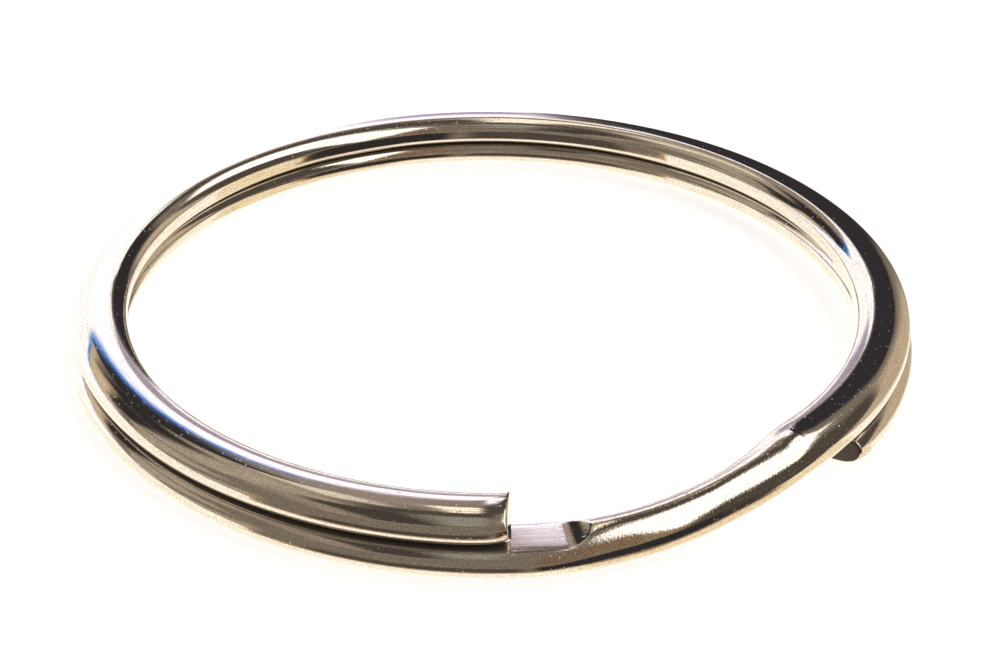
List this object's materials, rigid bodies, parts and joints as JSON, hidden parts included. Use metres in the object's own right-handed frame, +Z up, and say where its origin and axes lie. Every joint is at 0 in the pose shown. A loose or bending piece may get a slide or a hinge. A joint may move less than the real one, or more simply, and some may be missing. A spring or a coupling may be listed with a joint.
{
  "type": "split ring",
  "caption": "Flat-pressed split ring: spring wire coiled over itself, with a stepped crank and two cut ends, that holds keys and tags.",
  "frame": {"origin": "centre of the ring, on the surface it lies on", "axes": "+Z up along the ring's axis; the crank and both cut ends are on the -Y side, the crank to the right of the upper cut end as seen from there"},
  "size_m": [0.0254, 0.0254, 0.0018],
  "materials": {
    "split_ring": "polished"
  },
  "bodies": {
    "root": {"split_ring": "split_ring"}
  },
  "joints": []
}
